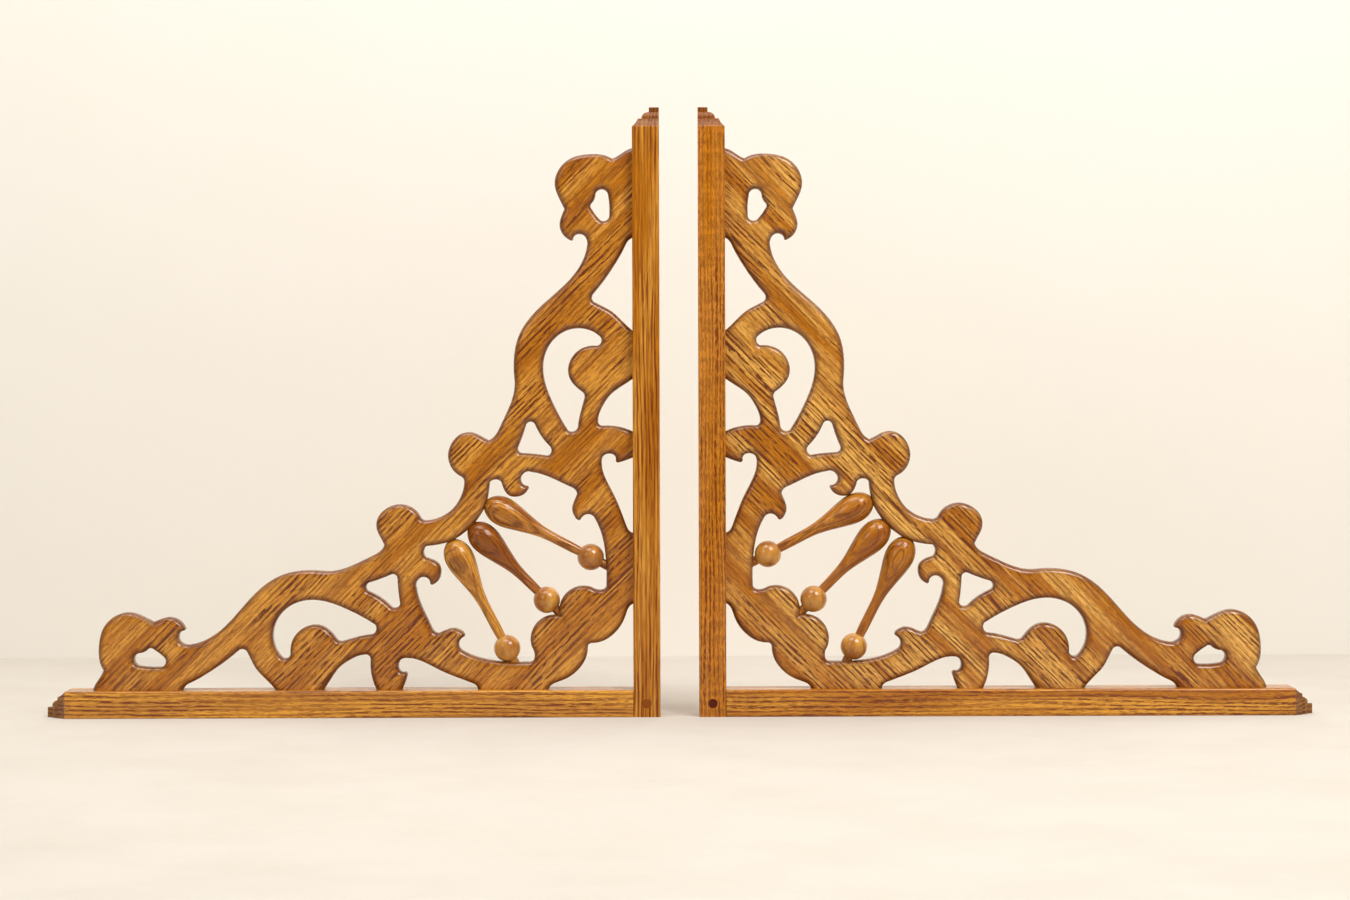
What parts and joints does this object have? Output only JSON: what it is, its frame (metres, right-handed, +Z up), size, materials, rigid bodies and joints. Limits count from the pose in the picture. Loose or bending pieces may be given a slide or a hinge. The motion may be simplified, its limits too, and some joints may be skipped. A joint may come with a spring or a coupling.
{
  "type": "pair of fretwork bracket book ends",
  "caption": "Pair of L-shaped oak book ends: moulded rails at a right angle, filled with scrolled fretwork and a fan of turned club spindles with beads.",
  "frame": {"origin": "middle of the book gap, on the surface the brackets stand on, in the middle of their depth", "axes": "+X along the shelf towards the right-hand bracket's tip, +Y from front to back, +Z up"},
  "size_m": [1.272, 0.038, 0.6115],
  "materials": {
    "rail_oak": "satin varnished oak",
    "fretwork_oak": "satin varnished oak",
    "turned_oak": "satin varnished oak, turned",
    "bead_wood": "glossy varnished close-grained wood",
    "dowel_wood": "end grain, varnished",
    "screw_steel": "plain steel"
  },
  "bodies": {
    "left_bracket": {"left_upright": "rail_oak", "left_base_rail": "rail_oak", "left_corner_dowel": "dowel_wood", "left_fretwork": "fretwork_oak", "left_upper_spindle": "turned_oak", "left_middle_spindle": "turned_oak", "left_lower_spindle": "turned_oak", "left_upper_bead": "bead_wood", "left_middle_bead": "bead_wood", "left_lower_bead": "bead_wood", "left_club_pins": "dowel_wood", "left_upright_screws": "screw_steel", "left_base_screws": "screw_steel"},
    "right_bracket": {"right_upright": "rail_oak", "right_base_rail": "rail_oak", "right_corner_dowel": "dowel_wood", "right_fretwork": "fretwork_oak", "right_upper_spindle": "turned_oak", "right_middle_spindle": "turned_oak", "right_lower_spindle": "turned_oak", "right_upper_bead": "bead_wood", "right_middle_bead": "bead_wood", "right_lower_bead": "bead_wood", "right_club_pins": "dowel_wood", "right_upright_screws": "screw_steel", "right_base_screws": "screw_steel"}
  },
  "joints": [
    {"name": "spread", "type": "slide", "parent": "left_bracket", "child": "right_bracket", "axis": [1, 0, 0], "range_m": [-0.038, 0.45]}
  ]
}
